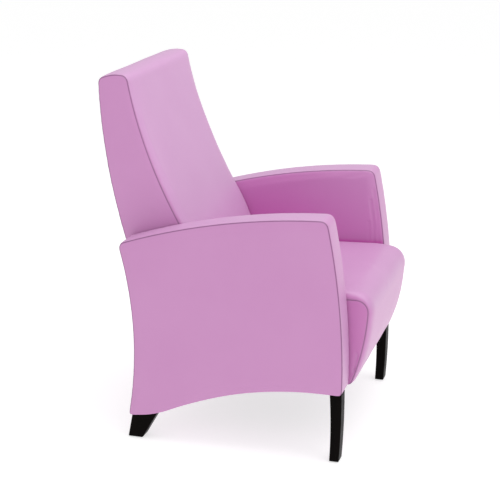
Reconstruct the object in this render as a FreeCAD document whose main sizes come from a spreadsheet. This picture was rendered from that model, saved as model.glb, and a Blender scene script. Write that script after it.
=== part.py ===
import FreeCAD, Part
import math
import os
import re
import Sketcher

Vector = FreeCAD.Vector
Placement = FreeCAD.Placement
Rotation = FreeCAD.Rotation

os.makedirs("parts", exist_ok=True)
doc = FreeCAD.newDocument("CareChair")
sheet = doc.addObject("Spreadsheet::Sheet", "Sizes")

# Driving sizes in millimetres. X runs to the sitter's left, Y to the rear, Z up from the floor.
sizes = {
    # sewn covers, foam clearances and hardware
    "cover_wall": "2",
    "soft_gap": "0.3",
    "thread_gap": "0.05",
    "drill_gap": "0.5",
    "bolt_radius": "4",
    "head_radius": "7",
    "head_height": "5",
    "insert_radius": "6",
    "insert_length": "18",
    "insert_margin": "2",
    "overcut": "5",
    # seat cushion
    "seat_width": "516",
    "seat_low": "204",
    "seat_rear": "214",
    "seat_rear_top": "452",
    "seat_front_top": "471",
    "seat_nose": "-389",
    "seat_nose_bulge": "16.5",
    "seat_nose_radius": "50",
    "seat_toe": "-349",
    "seat_crown": "5",
    "seat_front_crown": "1.5",
    "seat_edge_radius": "8",
    "seat_flange": "30",
    "dust_cover_wall": "1",
    # seat frame, springs and foam layers
    "rail_wall": "25",
    "rail_height": "94",
    "frame_front": "-322",
    "corner_block": "50",
    "corner_block_height": "42",
    "spring_count": "5",
    "spring_spacing": "84",
    "spring_width": "60",
    "spring_bends": "14",
    "wire_radius": "1.9",
    "clip_wall": "1.2",
    "clip_width": "18",
    "clip_gap": "0.1",
    "clip_lip": "5",
    "clip_tail": "4",
    "felt_wall": "3",
    "felt_margin": "4",
    "base_foam_height": "64",
    # arms, as layers from the sitter outwards
    "side_gap": "1",
    "inner_pad": "22",
    "panel_wall": "10",
    "core_width": "35",
    "outer_pad": "10",
    "edge_pad": "10",
    "core_depth": "45",
    "post_margin": "3",
    # arm outline seen from the side
    "arm_toe": "-339.5",
    "arm_toe_height": "206",
    "arm_toe_rear": "-279",
    "arm_front_top": "-290",
    "arm_front_height": "701",
    "arm_front_bulge": "14.8",
    "arm_rear_top": "310",
    "arm_rear_height": "589",
    "arm_top_bulge": "24.7",
    "arm_heel": "291",
    "arm_heel_height": "73",
    "arm_waist": "30",
    "arm_heel_front": "205",
    "arm_heel_front_height": "84.5",
    "arm_front_radius": "16",
    "arm_rear_radius": "14",
    "arm_foot_radius": "6",
    "arm_arch_radius": "60",
    "arm_edge_radius": "4",
    # back outline seen from the side
    "back_top_front": "308",
    "back_front_height": "1047",
    "back_top_rear": "393.1",
    "back_rear_height": "1036",
    "back_top_bulge": "8",
    "back_hollow": "21",
    "back_lumbar": "150",
    "back_lumbar_height": "618",
    "back_lumbar_bulge": "5",
    "back_foot": "80",
    "back_seat_gap": "1",
    "back_rear_mid": "324",
    "back_rear_mid_height": "585",
    "back_rear_bulge": "15",
    "back_rear_hollow": "14",
    "back_heel": "278",
    "back_crown": "8",
    "back_top_crown": "3",
    "back_front_radius": "18",
    "back_rear_radius": "14",
    "back_edge_radius": "9",
    # back frame
    "rear_pad": "6.8",
    "rear_pad_gap": "0.2",
    "rear_pad_drop": "12",
    "rear_board": "3",
    "rear_board_drop": "5",
    "stile_drop": "11",
    "stile_top_depth": "36",
    "stile_bulge": "26",
    "strap_wall": "2.5",
    "strap_width": "60",
    "strap_count": "5",
    "strap_pitch": "108",
    "strap_start": "490",
    "lumbar_rail_height": "50",
    "top_rail_height": "40",
    "top_rail_setback": "2",
    # legs and glides
    "leg_thickness": "45",
    "leg_inset": "9.5",
    "leg_edge_radius": "4",
    "front_leg_top_front": "-338",
    "front_leg_top_rear": "-304",
    "front_leg_foot_front": "-333",
    "front_leg_foot_rear": "-305.5",
    "front_leg_front_bow": "2.2",
    "front_leg_rear_bow": "3",
    "rear_leg_top_front": "207",
    "rear_leg_top_rear": "284",
    "rear_leg_foot_front": "253",
    "rear_leg_foot_rear": "297.5",
    "stud_reach": "32",
    "front_stud": "-318",
    "rear_stud": "250",
    "glide_radius": "12",
    "glide_height": "4",
    "glide_stem": "24",
    "glide_well": "28",
    # joining bolts
    "bolt_height": "262",
    "rear_bolt_height": "330",
    "front_bolt": "-288",
    "rear_bolt": "240",
    "back_bolt": "120",
    # sizes that follow from those above
    "seat_half": "=seat_width / 2",
    "seat_inner": "=seat_half - cover_wall",
    "rail_inner": "=seat_inner - rail_wall",
    "rail_low": "=seat_low + cover_wall",
    "rail_top": "=rail_low + rail_height",
    "frame_rear": "=seat_rear - cover_wall",
    "spring_front": "=frame_front + rail_wall / 2",
    "spring_rear": "=frame_rear - rail_wall / 2",
    "wire_height": "=rail_top + clip_wall + clip_gap + wire_radius",
    "felt_low": "=wire_height + wire_radius",
    "foam_low": "=felt_low + felt_wall",
    "foam_split": "=foam_low + base_foam_height",
    "arm_inner": "=seat_half + side_gap",
    "arm_inner_pad": "=arm_inner + cover_wall",
    "arm_inner_panel": "=arm_inner_pad + inner_pad",
    "arm_core": "=arm_inner_panel + panel_wall",
    "arm_outer_panel": "=arm_core + core_width",
    "arm_outer_pad": "=arm_outer_panel + panel_wall",
    "arm_outer_lining": "=arm_outer_pad + outer_pad",
    "arm_outer": "=arm_outer_lining + cover_wall",
    "core_middle": "=arm_core + core_width / 2",
    "post_front_low": "=arm_toe + edge_pad + core_depth",
    "post_front_top": "=arm_front_top + edge_pad + core_depth",
    "arm_rear_line": "=(arm_rear_top + arm_heel) / 2 - arm_waist",
    "post_rear": "=arm_rear_line - edge_pad - core_depth - post_margin",
    "heel_slope": "=(arm_heel_front_height - arm_heel_height) / (arm_heel - arm_heel_front)",
    "seat_slope": "=(seat_front_top - seat_rear_top) / (seat_rear - seat_nose)",
    "back_front_low": "=seat_rear_top + (seat_slope + seat_crown / (seat_rear - seat_nose))"
                      " * (seat_rear - back_foot) + back_seat_gap",
    "back_tail_top": "=seat_rear_top + back_seat_gap",
    "tail_front": "=seat_rear + cover_wall",
    "stile_top": "=min(back_front_height; back_rear_height) - stile_drop",
    "board_shift": "=cover_wall + soft_gap + rear_pad",
    "stile_shift": "=board_shift + rear_board",
    "leg_outer": "=arm_outer - leg_inset",
    "leg_inner": "=leg_outer - leg_thickness",
    "leg_middle": "=leg_outer - leg_thickness / 2",
    "front_glide": "=(front_leg_foot_front + front_leg_foot_rear) / 2",
    "rear_glide": "=(rear_leg_foot_front + rear_leg_foot_rear) / 2",
    "front_insert_low": "=arm_toe_height + edge_pad",
    "rear_insert_low": "=arm_heel_height + heel_slope * (arm_heel - rear_stud) + edge_pad + insert_margin",
    "arm_bolt_length": "=arm_core + insert_length - rail_inner",
    "back_bolt_length": "=rail_wall + 2 * cover_wall + insert_length",
}
for row, word in enumerate(sizes, 1):
    sheet.set(f"A{row}", word)
    sheet.setAlias(f"B{row}", word)
for row, text in enumerate(sizes.values(), 1):
    sheet.set(f"B{row}", text)
doc.recompute()

sideways = Rotation(Vector(0, 1, 0), Vector(0, 0, 1), Vector(1, 0, 0), "ZXY")
along = {
    "x": Rotation(Vector(0, 1, 0), 90),
    "y": Rotation(Vector(1, 0, 0), -90),
    "z": Rotation(),
}
nodes = {}


def formula(text):
    return re.sub(r"[a-z]\w*", lambda word: "Sizes." + word[0] if word[0] in sizes else word[0], text)


def amount(text):
    return float(sheet.evalExpression(text))


def bind(item, **formulas):
    for name, text in formulas.items():
        item.setExpression(name, formula(text))


def place(item, x="0", y="0", z="0", rotation=None):
    spot = Vector(amount(x), amount(y), amount(z))
    item.Placement = Placement(spot, rotation or item.Placement.Rotation)
    for axis, text in (("x", x), ("y", y), ("z", z)):
        item.setExpression("Placement.Base." + axis, formula(text))


def node(name, item):
    item.Label = name
    nodes[name] = item
    return item


def origin_plane(body, role):
    return next(plane for plane in body.Origin.OriginFeatures if plane.Role == role)


def new_sketch(name, body, role):
    if body is None:
        return doc.addObject("Sketcher::SketchObject", name)
    sketch = body.newObject("Sketcher::SketchObject", name)
    sketch.AttachmentSupport = (origin_plane(body, role), [""])
    sketch.MapMode = "FlatFace"
    return sketch


def pin(sketch, shape, spot, across, up):
    for kind, text in (("DistanceX", across), ("DistanceY", up)):
        row = sketch.addConstraint(Sketcher.Constraint(kind, -1, 1, shape, spot, amount(text)))
        sketch.setExpression(f"Constraints[{row}]", formula(text))


# A closed outline: every edge ends at its last two values, and an arc passes through its first two.
# A third word on an arc makes it run smoothly into the edge before or after it instead.
def outline(name, path, body=None, role="YZ_Plane"):
    sketch = new_sketch(name, body, role)
    points = [Vector(amount(edge[-2]), amount(edge[-1]), 0) for edge in path]
    shapes = []
    for number, edge in enumerate(path):
        start, end = points[number - 1], points[number]
        if len(edge) == 2:
            shapes.append(sketch.addGeometry(Part.LineSegment(start, end)))
        else:
            middle = Vector(amount(edge[0]), amount(edge[1]), 0)
            shapes.append(sketch.addGeometry(Part.Arc(start, middle, end)))

    def spot(shape, point):
        return 1 if (sketch.getPoint(shape, 1) - point).Length < 1e-6 else 2

    spots = [
        (spot(shape, points[number - 1]), spot(shape, points[number]))
        for number, shape in enumerate(shapes)
    ]
    for number, edge in enumerate(path):
        following = (number + 1) % len(path)
        smooth = edge[2:3] == ("next",) or path[following][2:3] == ("before",)
        joint = "Tangent" if smooth else "Coincident"
        ends = (shapes[number], spots[number][1], shapes[following], spots[following][0])
        sketch.addConstraint(Sketcher.Constraint(joint, *ends))
        pin(sketch, shapes[number], spots[number][1], edge[-2], edge[-1])
        if len(edge) == 4:
            mark = sketch.addGeometry(Part.Point(Vector(amount(edge[0]), amount(edge[1]), 0)), True)
            pin(sketch, mark, 1, edge[0], edge[1])
            sketch.addConstraint(Sketcher.Constraint("PointOnObject", mark, 1, shapes[number]))
    return sketch


def side_outline(name, path, x="0"):
    sketch = outline(name, path)
    place(sketch, x, rotation=sideways)
    return sketch


def inset(name, sketch, distance):
    ring = doc.addObject("Part::Offset2D", name)
    ring.Source = sketch
    ring.Join = "Tangent"
    bind(ring, Value=f"-({distance})")
    return ring


def extrude(name, profile, low, high, direction=Vector(1, 0, 0)):
    solid = doc.addObject("Part::Extrusion", name)
    solid.Base = profile
    solid.DirMode = "Custom"
    solid.Dir = direction
    solid.Solid = True
    bind(solid, LengthFwd=high, LengthRev=f"-({low})")
    return solid


def box(name, low, high):
    solid = doc.addObject("Part::Box", name)
    bind(
        solid,
        Length=f"{high[0]} - ({low[0]})",
        Width=f"{high[1]} - ({low[1]})",
        Height=f"{high[2]} - ({low[2]})",
    )
    place(solid, *low)
    return solid


def rod(name, radius, length, axis, x, y, z):
    solid = doc.addObject("Part::Cylinder", name)
    bind(solid, Radius=radius, Height=length)
    place(solid, x, y, z, along[axis])
    return solid


def join(name, kind, items):
    group = doc.addObject(kind, name)
    if kind == "Part::Compound":
        group.Links = items
    else:
        group.Shapes = items
    return group


def cut(name, base, tools):
    solid = doc.addObject("Part::Cut", name)
    solid.Base = base
    solid.Tool = tools[0] if len(tools) == 1 else join(name + "_tools", "Part::MultiFuse", tools)
    return solid


def common(name, base, tool):
    solid = doc.addObject("Part::Common", name)
    solid.Base = base
    solid.Tool = tool
    return solid


def rounded(name, base, radii):
    solid = doc.addObject("Part::Fillet", name)
    solid.Base = base
    solid.Edges = [(number, radius, radius) for number, radius in radii]
    doc.recompute()
    return solid


def flat_edges(solid, keep):
    doc.recompute()
    return [
        number
        for number, edge in enumerate(solid.Shape.Edges, 1)
        if edge.BoundBox.XLength < 1e-4 and keep(edge.CenterOfMass)
    ]


# The cross edge of a solid that starts nearest to a corner of its outline.
def corner_edge(solid, y, z):
    doc.recompute()
    corner = Vector(0, amount(y), amount(z))

    def gap(entry):
        spot = entry[1].Vertexes[0].Point
        return math.hypot(spot.y - corner.y, spot.z - corner.z)

    cross = [entry for entry in enumerate(solid.Shape.Edges, 1) if entry[1].BoundBox.XLength > 5]
    return min(cross, key=gap)[0]


# A cushion form: a loft from side to side through a crowned middle, its corners and side edges rounded.
def cushion(name, side_path, middle_path, half, distance, corners, edge_radius, keep):
    sections = []
    for place_name, path, x in (("right", side_path, f"-({half})"), ("middle", middle_path, "0"),
                                ("left", side_path, half)):
        sketch = side_outline(f"{name}_{place_name}", path, x)
        sections.append(inset(f"{name}_{place_name}_inset", sketch, distance) if distance else sketch)
    loft = doc.addObject("Part::Loft", name + "_loft")
    loft.Sections = sections
    loft.Solid = True
    depth = amount(distance) if distance else 0
    softened = rounded(
        name + "_corners",
        loft,
        [(corner_edge(loft, y, z), amount(radius) - depth) for y, z, radius in corners],
    )
    edges = flat_edges(softened, keep)
    return rounded(name, softened, [(number, amount(edge_radius) - depth) for number in edges])


def pad_body(name, path, x, length):
    body = doc.addObject("PartDesign::Body", name)
    pad = body.newObject("PartDesign::Pad", name + "_pad")
    pad.Profile = outline(name + "_profile", path, body)
    bind(pad, Length=length)
    place(body, x)
    doc.recompute()
    return body


def bore(body, name, role, across, up, radius, depth=None, level="0", upward=False):
    sketch = new_sketch(name + "_circle", body, role)
    spot = Vector(amount(across), amount(up), 0)
    circle = sketch.addGeometry(Part.Circle(spot, Vector(0, 0, 1), amount(radius)))
    pin(sketch, circle, 3, across, up)
    row = sketch.addConstraint(Sketcher.Constraint("Radius", circle, amount(radius)))
    sketch.setExpression(f"Constraints[{row}]", formula(radius))
    sketch.setExpression("AttachmentOffset.Base.z", formula(level))
    doc.recompute()
    pocket = body.newObject("PartDesign::Pocket", name)
    pocket.Profile = sketch
    pocket.Reversed = upward
    if depth is None:
        pocket.Type = "ThroughAll"
        pocket.Midplane = True
    else:
        bind(pocket, Length=depth)
    doc.recompute()


def rectangle(y_low, y_high, z_low, z_high):
    return [(y_low, z_low), (y_high, z_low), (y_high, z_high), (y_low, z_high)]


arm_bolt_spots = [("front", "front_bolt", "bolt_height"), ("rear", "rear_bolt", "rear_bolt_height")]
drill = "bolt_radius + drill_gap"
insert_seat = "insert_radius + thread_gap"

# Seat: one outline, crowned to the middle.
def seat_path(crown, front_crown):
    front = f"seat_nose - {front_crown}"
    toe = f"seat_toe - {front_crown}"
    top = f"seat_front_top + {crown}"
    return [
        ("seat_rear", "seat_low"),
        ("seat_rear", "seat_rear_top"),
        (front, top),
        (
            f"(seat_nose + seat_toe) / 2 - seat_nose_bulge - {front_crown}",
            f"(seat_low + {top}) / 2",
            toe,
            "seat_low",
        ),
    ]


def seat_form(name, distance):
    def keep(middle):
        front = middle.y < amount("seat_rear") - 10
        return front and middle.z > amount("seat_low") + 10

    side, middle = seat_path("0", "0"), seat_path("seat_crown", "seat_front_crown")
    corners = [("seat_nose", "seat_front_top", "seat_nose_radius")]
    half = f"seat_half - ({distance})" if distance else "seat_half"
    return cushion(name, side, middle, half, distance, corners, "seat_edge_radius", keep)


past_side = "seat_half + 2 * overcut"
bolt_start = "seat_rear - 2 * overcut"
bolt_run = "4 * overcut"
past_front = "seat_nose - 2 * seat_nose_bulge - 2 * overcut"
past_rear = "seat_rear + 4 * overcut"
seat_bolts = [
    rod("seat_cover_front_bolts", drill, f"2 * ({past_side})", "x", f"-({past_side})", "front_bolt",
        "bolt_height"),
    rod("seat_cover_left_bolt", drill, bolt_run, "y", "back_bolt", bolt_start, "bolt_height"),
    rod("seat_cover_right_bolt", drill, bolt_run, "y", "-back_bolt", bolt_start, "bolt_height"),
]
seat_opening = box(
    "seat_opening",
    ("seat_flange - seat_half", "frame_front + rail_wall", "seat_low - overcut"),
    ("seat_half - seat_flange", "frame_rear - rail_wall", "rail_low + overcut"),
)
node(
    "seat_cover",
    cut(
        "seat_cover",
        seat_form("seat_skin", ""),
        [seat_form("seat_room", "cover_wall"), seat_opening] + seat_bolts,
    ),
)
seat_filling = seat_form("seat_filling", "cover_wall + soft_gap")
for name, low, high in (
    ("seat_comfort_foam", ("foam_split", past_front), ("seat_front_top + 4 * seat_crown", past_rear)),
    ("seat_base_foam", ("foam_low", past_front), ("foam_split", past_rear)),
    ("seat_front_foam", ("seat_low - overcut", past_front), ("foam_low", "frame_front")),
):
    layer = box(name + "_layer", (f"-({past_side})", low[1], low[0]), (past_side, high[1], high[0]))
    node(name, common(name, seat_filling, layer))

node(
    "seat_felt",
    box(
        "seat_felt",
        ("felt_margin - rail_inner", "frame_front + rail_wall + felt_margin", "felt_low"),
        ("rail_inner - felt_margin", "frame_rear - rail_wall - felt_margin", "foam_low"),
    ),
)
node(
    "seat_dust_cover",
    box(
        "seat_dust_cover",
        ("seat_flange / 2 - seat_half", "frame_front + rail_wall / 2", "seat_low - dust_cover_wall"),
        ("seat_half - seat_flange / 2", "frame_rear", "seat_low"),
    ),
)

# Seat frame: side rails run the full depth, front and rear rails fit between them.
side_rail = rectangle("frame_front", "frame_rear", "rail_low", "rail_top")
for name, x in (("seat_left_rail", "rail_inner"), ("seat_right_rail", "-seat_inner")):
    rail = node(name, pad_body(name, side_rail, x, "rail_wall"))
    bore(rail, name + "_bolt", "YZ_Plane", "front_bolt", "bolt_height", drill)
front_rail = rectangle("frame_front", "frame_front + rail_wall", "rail_low", "rail_top")
node("seat_front_rail", pad_body("seat_front_rail", front_rail, "-rail_inner", "2 * rail_inner"))
rear_rail = rectangle("frame_rear - rail_wall", "frame_rear", "rail_low", "rail_top")
rail = node("seat_rear_rail", pad_body("seat_rear_rail", rear_rail, "-rail_inner", "2 * rail_inner"))
for side, sign in (("left", "+"), ("right", "-")):
    across = f"rail_inner {sign} back_bolt"
    bore(rail, f"seat_rear_rail_{side}_bolt", "XZ_Plane", across, "bolt_height", drill)

blocks = []
for side, sign in (("left", "1"), ("right", "-1")):
    for end, y, turn in (("front", "frame_front + rail_wall", "1"), ("rear", "frame_rear - rail_wall", "-1")):
        triangle = [
            (f"{sign} * rail_inner", y),
            (f"{sign} * (rail_inner - corner_block)", y),
            (f"{sign} * rail_inner", f"{y} + {turn} * corner_block"),
        ]
        profile = outline(f"{end}_{side}_block_profile", triangle)
        block_top = "rail_low + corner_block_height"
        blocks.append(extrude(f"{end}_{side}_block", profile, "rail_low", block_top, Vector(0, 0, 1)))
node("seat_corner_blocks", join("seat_corner_blocks", "Part::Compound", blocks))


# A zigzag spring: straight bars across, half turns between them, the first and last bars held in clips.
def zigzag(x):
    bends = int(amount("spring_bends"))
    start, end, height = amount("spring_front"), amount("spring_rear"), amount("wire_height")
    pitch = (end - start) / bends
    straight = amount("spring_width") / 2 - pitch / 2
    edges = []
    for bar in range(bends + 1):
        side = 1 if bar % 2 == 0 else -1
        y = start + bar * pitch
        bar_start = Vector(x - side * straight, y, height)
        bar_end = Vector(x + side * straight, y, height)
        edges.append(Part.makeLine(bar_start, bar_end))
        if bar < bends:
            turn = Part.Arc(
                bar_end,
                Vector(x + side * (straight + pitch / 2), y + pitch / 2, height),
                Vector(x + side * straight, y + pitch, height),
            )
            edges.append(turn.toShape())
    spine = Part.Wire(edges)
    ring = Part.makeCircle(amount("wire_radius"), Vector(x - straight, start, height), Vector(1, 0, 0))
    return spine.makePipeShell([Part.Wire(ring)], True, False)


count = int(amount("spring_count"))
columns = [f"spring_spacing * {number - (count - 1) / 2}" for number in range(count)]
springs = doc.addObject("Part::Feature", "seat_springs")
springs.Shape = Part.makeCompound([zigzag(amount(x)) for x in columns])
node("seat_springs", springs)

clips = []
slot = "wire_radius + clip_gap"
for number, x in enumerate(columns):
    for end, y, turn in (("front", "spring_front", 1), ("rear", "spring_rear", -1)):
        low, high = ("wire_radius + clip_lip", "clip_tail")
        if turn < 0:
            low, high = high, low
        shell = box(
            f"{end}_clip_{number}_shell",
            (f"{x} - clip_width / 2", f"{y} - ({low})", "rail_top"),
            (f"{x} + clip_width / 2", f"{y} + {high}", f"wire_height + {slot} + clip_wall"),
        )
        low, high = (slot, "2 * clip_tail") if turn > 0 else ("2 * clip_tail", slot)
        mouth = box(
            f"{end}_clip_{number}_mouth",
            (f"{x} - clip_width", f"{y} - ({low})", f"wire_height - ({slot})"),
            (f"{x} + clip_width", f"{y} + {high}", f"wire_height + {slot}"),
        )
        clips.append(cut(f"{end}_clip_{number}", shell, [mouth]))
node("spring_clips", join("spring_clips", "Part::Compound", clips))

# Arms: layers of one outline, each inset and cut to its own width.
arm_path = [
    ("arm_toe", "arm_toe_height"),
    (
        "(arm_toe + arm_front_top) / 2 - arm_front_bulge",
        "(arm_toe_height + arm_front_height) / 2",
        "arm_front_top",
        "arm_front_height",
    ),
    (
        "(arm_front_top + arm_rear_top) / 2",
        "(arm_front_height + arm_rear_height) / 2 + arm_top_bulge",
        "arm_rear_top",
        "arm_rear_height",
    ),
    ("arm_rear_line", "(arm_rear_height + arm_heel_height) / 2", "arm_heel", "arm_heel_height"),
    ("arm_heel_front", "arm_heel_front_height"),
    (
        "(arm_heel_front + arm_toe_rear) / 2",
        "(arm_heel_front_height + 3 * arm_toe_height) / 4",
        "next",
        "arm_toe_rear",
        "arm_toe_height",
    ),
]
arm_corners = [
    ("arm_front_top", "arm_front_height", "arm_front_radius"),
    ("arm_rear_top", "arm_rear_height", "arm_rear_radius"),
    ("arm_toe", "arm_toe_height", "arm_foot_radius"),
    ("arm_heel", "arm_heel_height", "arm_foot_radius"),
    ("arm_heel_front", "arm_heel_front_height", "arm_arch_radius"),
]
arm_outline = side_outline("arm_outline", arm_path)


def arm_layer(name, distance, low, high):
    profile = inset(name + "_inset", arm_outline, distance) if distance else arm_outline
    slab = extrude(name + "_slab", profile, low, high)
    depth = amount(distance) if distance else 0
    radii = [
        (corner_edge(slab, y, z), amount(radius) - depth)
        for y, z, radius in arm_corners
        if amount(radius) - depth > 1
    ]
    return rounded(name, slab, radii)


post_line = [("post_front_low", "arm_toe_height"), ("post_front_top", "arm_front_height + 40")]
front_region = side_outline(
    "front_post_region",
    post_line + [("arm_toe - 80", "arm_front_height + 40"), ("arm_toe - 80", "arm_toe_height")],
)
rear_region = side_outline(
    "rear_post_region",
    rectangle("post_rear", "arm_rear_top + 50", "0", "arm_front_height + 40"),
)
mid_height = "(arm_toe_height + arm_front_height) / 2"
split_y = (
    "post_front_low + (post_front_top - post_front_low) * (arm_front_height - arm_toe_height) / 2"
    " / (arm_front_height - arm_toe_height + 40)"
)
top_region = side_outline(
    "top_rail_region",
    [
        (split_y, mid_height),
        ("post_front_top", "arm_front_height + 40"),
        ("post_rear", "arm_front_height + 40"),
        ("post_rear", mid_height),
    ],
)
bottom_region = side_outline(
    "bottom_rail_region",
    [
        (split_y, mid_height),
        ("post_front_low", "arm_toe_height"),
        ("post_front_low", "0"),
        ("post_rear", "0"),
        ("post_rear", mid_height),
    ],
)
regions = {
    "front_post": front_region,
    "rear_post": rear_region,
    "top_rail": top_region,
    "bottom_rail": bottom_region,
}


def build_arm(side):
    def span(low, high):
        return (low, high) if side == "left" else (f"-({high})", f"-({low})")

    def across(name, radius, low, high, y, z):
        start = span(low, high)[0]
        return rod(f"{side}_{name}", radius, f"{high} - ({low})", "x", start, y, z)

    def bolts(name, radius, low, high):
        return [
            across(f"{name}_{end}_bolt", radius, low, high, y, z)
            for end, y, z in arm_bolt_spots
        ]

    def stud_rods(name, radius, rise):
        x = span("core_middle", "core_middle")[0]
        return [
            rod(f"{side}_{name}_{end}_stud", radius, f"{top} - ({low})", "z", x, y, low)
            for end, y, low, top in (
                ("front", "front_stud", "arm_toe_height - 2 * overcut", f"front_insert_low + {rise}"),
                ("rear", "rear_stud", "arm_heel_height - 2 * overcut", f"rear_insert_low + {rise}"),
            )
        ]

    # sewn cover around the whole arm
    skin = arm_layer(f"{side}_arm_skin", "", *span("arm_inner", "arm_outer"))
    edges = flat_edges(skin, lambda middle: True)
    skin = rounded(f"{side}_arm_skin_edges", skin, [(number, amount("arm_edge_radius")) for number in edges])
    room = arm_layer(f"{side}_arm_room", "cover_wall", *span("arm_inner_pad", "arm_outer_lining"))
    holes = bolts("cover", drill, "arm_inner - overcut", "arm_inner_pad + overcut")
    holes += stud_rods("cover", drill, "0")
    node(f"{side}_arm_cover", cut(f"{side}_arm_cover", skin, [room] + holes))

    # foam on both faces and around the edge
    lining = "cover_wall + soft_gap"
    sheet_foam = arm_layer(f"{side}_inner_sheet", lining, *span("arm_inner_pad", "arm_inner_panel"))
    holes = bolts("inner_foam", drill, "arm_inner", "arm_inner_panel + overcut")
    node(f"{side}_arm_inner_foam", cut(f"{side}_arm_inner_foam", sheet_foam, holes))
    node(
        f"{side}_arm_outer_foam",
        arm_layer(f"{side}_arm_outer_foam", lining, *span("arm_outer_pad", "arm_outer_lining")),
    )
    wrap = arm_layer(f"{side}_edge_wrap", lining, *span("arm_inner_panel", "arm_outer_pad"))
    through = span("arm_inner_panel - overcut", "arm_outer_pad + overcut")
    hollow = arm_layer(f"{side}_edge_hollow", "edge_pad", *through)
    node(
        f"{side}_arm_edge_foam",
        cut(f"{side}_arm_edge_foam", wrap, [hollow] + stud_rods("edge_foam", drill, "overcut")),
    )

    # plywood panels either side of a post and rail core
    panel = arm_layer(f"{side}_inner_sheet_panel", "edge_pad", *span("arm_inner_panel", "arm_core"))
    holes = bolts("inner_panel", drill, "arm_inner_panel - overcut", "arm_core + overcut")
    node(f"{side}_arm_inner_panel", cut(f"{side}_arm_inner_panel", panel, holes))
    node(
        f"{side}_arm_outer_panel",
        arm_layer(f"{side}_arm_outer_panel", "edge_pad", *span("arm_outer_panel", "arm_outer_pad")),
    )
    core = arm_layer(f"{side}_core", "edge_pad", *span("arm_core", "arm_outer_panel"))
    past_core = span("arm_core - overcut", "arm_outer_panel + overcut")
    opening = extrude(
        f"{side}_core_opening",
        inset(f"{side}_core_opening_inset", arm_outline, "edge_pad + core_depth"),
        *past_core,
    )
    ring = cut(f"{side}_core_ring", core, [opening])
    seats = bolts("post", insert_seat, "arm_core - overcut", "arm_core + insert_length")
    seats += stud_rods("post", insert_seat, "insert_length")
    for member, region in regions.items():
        stock = core if member.endswith("post") else ring
        zone = extrude(f"{side}_{member}_zone", region, *past_core)
        name = f"{side}_arm_{member}"
        if member.endswith("post"):
            end = 0 if member == "front_post" else 1
            blank = common(f"{name}_blank", stock, zone)
            node(name, cut(name, blank, [seats[end], seats[end + 2]]))
        else:
            node(name, common(name, stock, zone))


build_arm("left")
build_arm("right")

# Back: one outline from the seat over the top and down the rear to the seat frame.
def back_path(crown, top_crown):
    foot = f"back_foot - {crown}"
    lumbar = f"back_lumbar - {crown}"
    top_front = f"back_top_front - {top_crown}"
    front_height = f"back_front_height + {top_crown}"
    return [
        ("seat_rear", "seat_low"),
        ("back_heel", "seat_low"),
        (
            "(back_heel + back_rear_mid) / 2 - back_rear_hollow",
            "(seat_low + back_rear_mid_height) / 2",
            "next",
            "back_rear_mid",
            "back_rear_mid_height",
        ),
        (
            "(back_rear_mid + back_top_rear) / 2 + back_rear_bulge",
            "(back_rear_mid_height + back_rear_height) / 2",
            "back_top_rear",
            "back_rear_height",
        ),
        (
            f"(back_top_rear + {top_front}) / 2",
            f"(back_rear_height + {front_height}) / 2 + back_top_bulge",
            top_front,
            front_height,
        ),
        (
            f"({top_front} + {lumbar}) / 2 + back_hollow",
            f"({front_height} + back_lumbar_height) / 2",
            lumbar,
            "back_lumbar_height",
        ),
        (
            f"({lumbar} + {foot}) / 2 - back_lumbar_bulge",
            "(back_lumbar_height + back_front_low) / 2",
            "before",
            foot,
            "back_front_low",
        ),
        ("seat_rear", "back_tail_top"),
    ]


def back_form(name, distance):
    def keep(middle):
        low = middle.z < amount("seat_low") + 10
        under = middle.z < amount("back_front_low") + 10 and middle.y < amount("seat_rear") + 10
        return not low and not under

    side, middle = back_path("0", "0"), back_path("back_crown", "back_top_crown")
    corners = [
        ("back_top_front", "back_front_height", "back_front_radius"),
        ("back_top_rear", "back_rear_height", "back_rear_radius"),
    ]
    half = f"seat_half - ({distance})" if distance else "seat_half"
    return cushion(name, side, middle, half, distance, corners, "back_edge_radius", keep)


back_holes = [
    rod("back_cover_side_bolts", drill, f"2 * ({past_side})", "x", f"-({past_side})", "rear_bolt",
        "rear_bolt_height"),
    rod("back_cover_left_bolt", drill, bolt_run, "y", "back_bolt", bolt_start, "bolt_height"),
    rod("back_cover_right_bolt", drill, bolt_run, "y", "-back_bolt", bolt_start, "bolt_height"),
]
node(
    "back_cover",
    cut("back_cover", back_form("back_skin", ""), [back_form("back_room", "cover_wall")] + back_holes),
)


# The rear line of the back, moved forward by a distance.
def rear_line(shift):
    return [
        (
            f"(back_heel + back_rear_mid) / 2 - back_rear_hollow - {shift}",
            "(seat_low + back_rear_mid_height) / 2",
            "next",
            f"back_rear_mid - {shift}",
            "back_rear_mid_height",
        ),
        (
            f"(back_rear_mid + back_top_rear) / 2 + back_rear_bulge - {shift}",
            "(back_rear_mid_height + back_rear_height) / 2",
            f"back_top_rear - {shift}",
            "back_rear_height",
        ),
    ]


past_back = "back_top_rear + back_rear_bulge + 2 * overcut"
tail_end = "seat_low - 2 * overcut"
stile_front_top = "back_top_rear - stile_shift - stile_top_depth"
stile_front_mid = f"(tail_front + {stile_front_top}) / 2 + stile_bulge"
strap_mid_height = "(back_tail_top + stile_top) / 2"
stile_path = (
    [("tail_front", "seat_low"), ("back_heel - stile_shift", "seat_low")]
    + rear_line("stile_shift")
    + [
        (stile_front_top, "back_rear_height"),
        (stile_front_top, "stile_top"),
        (stile_front_mid, strap_mid_height, "tail_front", "back_tail_top"),
    ]
)
for name, x in (("back_left_stile", "rail_inner"), ("back_right_stile", "-seat_inner")):
    blank = pad_body(name + "_blank", stile_path, x, "rail_wall")
    bore(blank, name + "_bolt", "YZ_Plane", "rear_bolt", "rear_bolt_height", drill)
    limit = box(name + "_limit", (f"{x} - overcut", "0", "rail_low"),
                (f"{x} + rail_wall + overcut", past_back, "stile_top"))
    node(name, common(name, blank, limit))

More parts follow.
